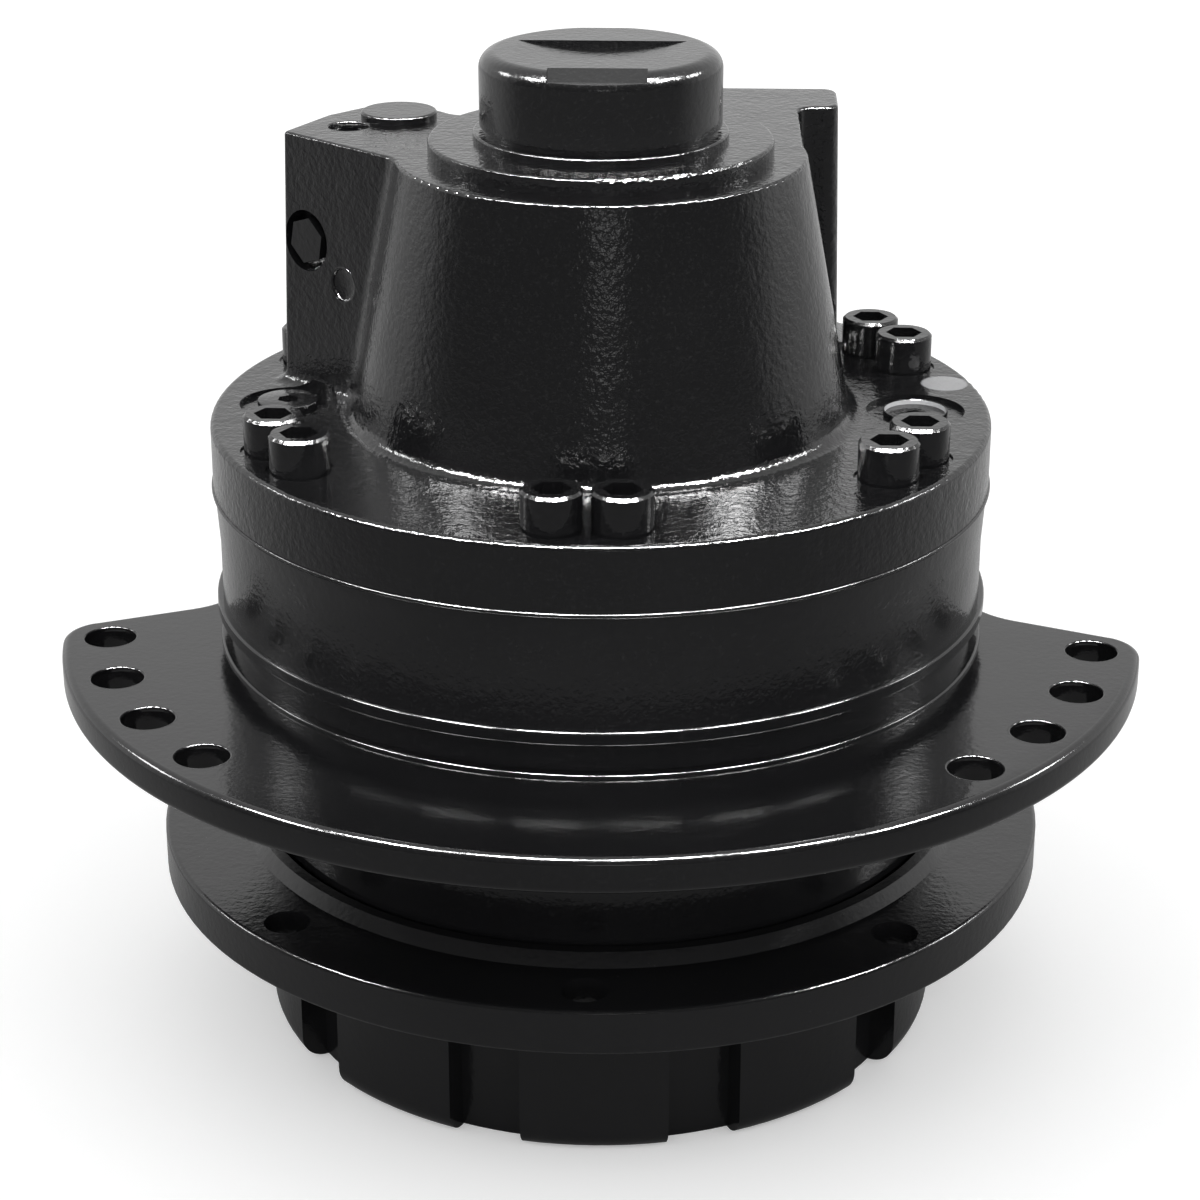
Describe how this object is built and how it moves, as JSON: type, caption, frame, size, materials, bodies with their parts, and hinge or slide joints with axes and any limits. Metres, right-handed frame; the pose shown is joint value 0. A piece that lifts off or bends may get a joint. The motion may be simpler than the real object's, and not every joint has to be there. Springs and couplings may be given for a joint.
{
  "type": "hydraulic final drive motor",
  "caption": "Black radial piston final drive motor standing on its lobed sprocket hub, with two bolt ears, a port block with a control arm, a tall tower and an end cap.",
  "frame": {"origin": "centre of the face on the output flange that the sprocket seats on", "axes": "+Z along the shaft from the sprocket hub to the end cap, -Y to the front, where the ears' rows of holes open, +Y to the ports"},
  "size_m": [0.336, 0.3103, 0.3133],
  "materials": {
    "black_paint": "glossy black paint over castings and machined faces",
    "bearing_steel": "ground and polished",
    "ground_steel": "ground",
    "cast_iron": "machined",
    "brake_lining": "steel disc with sintered lining",
    "seal_rubber": "matte",
    "spring_steel": "oiled"
  },
  "bodies": {
    "motor_case": {"bearing_support": "black_paint", "cam_ring": "black_paint", "support_seal": "seal_rubber", "cover_seal": "seal_rubber", "distributor": "cast_iron", "distributor_spring": "spring_steel", "steel_brake_discs": "ground_steel", "brake_spring": "spring_steel", "valve_cover": "black_paint", "cover_screws": "black_paint", "end_cap": "black_paint", "cap_seal": "seal_rubber", "arm_cap": "black_paint", "arm_plug": "black_paint", "spool_plug": "black_paint", "small_plug": "black_paint", "bleed_plugs": "black_paint", "spool_spring": "spring_steel", "shaft_seal": "seal_rubber", "lower_bearing_cup": "bearing_steel", "upper_bearing_cup": "bearing_steel"},
    "output": {"output_hub": "black_paint", "bearing_nut": "ground_steel", "lower_bearing_cone": "bearing_steel", "upper_bearing_cone": "bearing_steel", "cylinder_block": "ground_steel", "brake_shaft": "ground_steel", "lined_brake_discs": "brake_lining"},
    "lower_bearing_rollers": {"lower_bearing_rollers": "bearing_steel"},
    "upper_bearing_rollers": {"upper_bearing_rollers": "bearing_steel"},
    "piston_1": {"piston_1": "ground_steel"},
    "cam_roller_1": {"cam_roller_1": "bearing_steel"},
    "piston_2": {"piston_2": "ground_steel"},
    "cam_roller_2": {"cam_roller_2": "bearing_steel"},
    "piston_3": {"piston_3": "ground_steel"},
    "cam_roller_3": {"cam_roller_3": "bearing_steel"},
    "piston_4": {"piston_4": "ground_steel"},
    "cam_roller_4": {"cam_roller_4": "bearing_steel"},
    "piston_5": {"piston_5": "ground_steel"},
    "cam_roller_5": {"cam_roller_5": "bearing_steel"},
    "piston_6": {"piston_6": "ground_steel"},
    "cam_roller_6": {"cam_roller_6": "bearing_steel"},
    "piston_7": {"piston_7": "ground_steel"},
    "cam_roller_7": {"cam_roller_7": "bearing_steel"},
    "piston_8": {"piston_8": "ground_steel"},
    "cam_roller_8": {"cam_roller_8": "bearing_steel"},
    "brake_piston": {"brake_piston": "ground_steel"},
    "speed_spool": {"speed_spool": "ground_steel"}
  },
  "joints": [
    {"name": "output_spin", "type": "hinge", "parent": "motor_case", "child": "output", "pos_m": [0, 0, 0.038], "axis": [0, 0, 1], "continuous": true},
    {"name": "lower_rollers_spin", "type": "hinge", "parent": "motor_case", "child": "lower_bearing_rollers", "pos_m": [0, 0, 0.038], "axis": [0, 0, 1], "continuous": true},
    {"name": "upper_rollers_spin", "type": "hinge", "parent": "motor_case", "child": "upper_bearing_rollers", "pos_m": [0, 0, 0.065], "axis": [0, 0, 1], "continuous": true},
    {"name": "piston_1_slide", "type": "slide", "parent": "output", "child": "piston_1", "axis": [0.9914, 0.1305, 0], "range_m": [0, 0.0104]},
    {"name": "cam_roller_1_spin", "type": "hinge", "parent": "piston_1", "child": "cam_roller_1", "pos_m": [0.07436, 0.00979, 0.10935], "axis": [0, 0, 1], "continuous": true},
    {"name": "piston_2_slide", "type": "slide", "parent": "output", "child": "piston_2", "axis": [0.6088, 0.7934, 0], "range_m": [0, 0.0104]},
    {"name": "cam_roller_2_spin", "type": "hinge", "parent": "piston_2", "child": "cam_roller_2", "pos_m": [0.04566, 0.0595, 0.10935], "axis": [0, 0, 1], "continuous": true},
    {"name": "piston_3_slide", "type": "slide", "parent": "output", "child": "piston_3", "axis": [-0.1305, 0.9914, 0], "range_m": [0, 0.0034]},
    {"name": "cam_roller_3_spin", "type": "hinge", "parent": "piston_3", "child": "cam_roller_3", "pos_m": [-0.00979, 0.07436, 0.10935], "axis": [0, 0, 1], "continuous": true},
    {"name": "piston_4_slide", "type": "slide", "parent": "output", "child": "piston_4", "axis": [-0.7934, 0.6088, 0], "range_m": [0, 0.0034]},
    {"name": "cam_roller_4_spin", "type": "hinge", "parent": "piston_4", "child": "cam_roller_4", "pos_m": [-0.0595, 0.04566, 0.10935], "axis": [0, 0, 1], "continuous": true},
    {"name": "piston_5_slide", "type": "slide", "parent": "output", "child": "piston_5", "axis": [-0.9914, -0.1305, 0], "range_m": [0, 0.0104]},
    {"name": "cam_roller_5_spin", "type": "hinge", "parent": "piston_5", "child": "cam_roller_5", "pos_m": [-0.07436, -0.00979, 0.10935], "axis": [0, 0, 1], "continuous": true},
    {"name": "piston_6_slide", "type": "slide", "parent": "output", "child": "piston_6", "axis": [-0.6088, -0.7934, 0], "range_m": [0, 0.0104]},
    {"name": "cam_roller_6_spin", "type": "hinge", "parent": "piston_6", "child": "cam_roller_6", "pos_m": [-0.04566, -0.0595, 0.10935], "axis": [0, 0, 1], "continuous": true},
    {"name": "piston_7_slide", "type": "slide", "parent": "output", "child": "piston_7", "axis": [0.1305, -0.9914, 0], "range_m": [0, 0.0034]},
    {"name": "cam_roller_7_spin", "type": "hinge", "parent": "piston_7", "child": "cam_roller_7", "pos_m": [0.00979, -0.07436, 0.10935], "axis": [0, 0, 1], "continuous": true},
    {"name": "piston_8_slide", "type": "slide", "parent": "output", "child": "piston_8", "axis": [0.7934, -0.6088, 0], "range_m": [0, 0.0034]},
    {"name": "cam_roller_8_spin", "type": "hinge", "parent": "piston_8", "child": "cam_roller_8", "pos_m": [0.0595, -0.04566, 0.10935], "axis": [0, 0, 1], "continuous": true},
    {"name": "brake_release", "type": "slide", "parent": "motor_case", "child": "brake_piston", "axis": [0, 0, 1], "range_m": [0, 0.0025], "deforming": ["brake_spring"]},
    {"name": "speed_shift", "type": "slide", "parent": "motor_case", "child": "speed_spool", "axis": [0.658, 0.7531, 0], "range_m": [0, 0.005], "deforming": ["spool_spring"]}
  ],
  "couplings": [
    {"joint": "lower_rollers_spin", "follows": "output_spin", "ratio": 0.44982},
    {"joint": "upper_rollers_spin", "follows": "output_spin", "ratio": 0.44458}
  ]
}
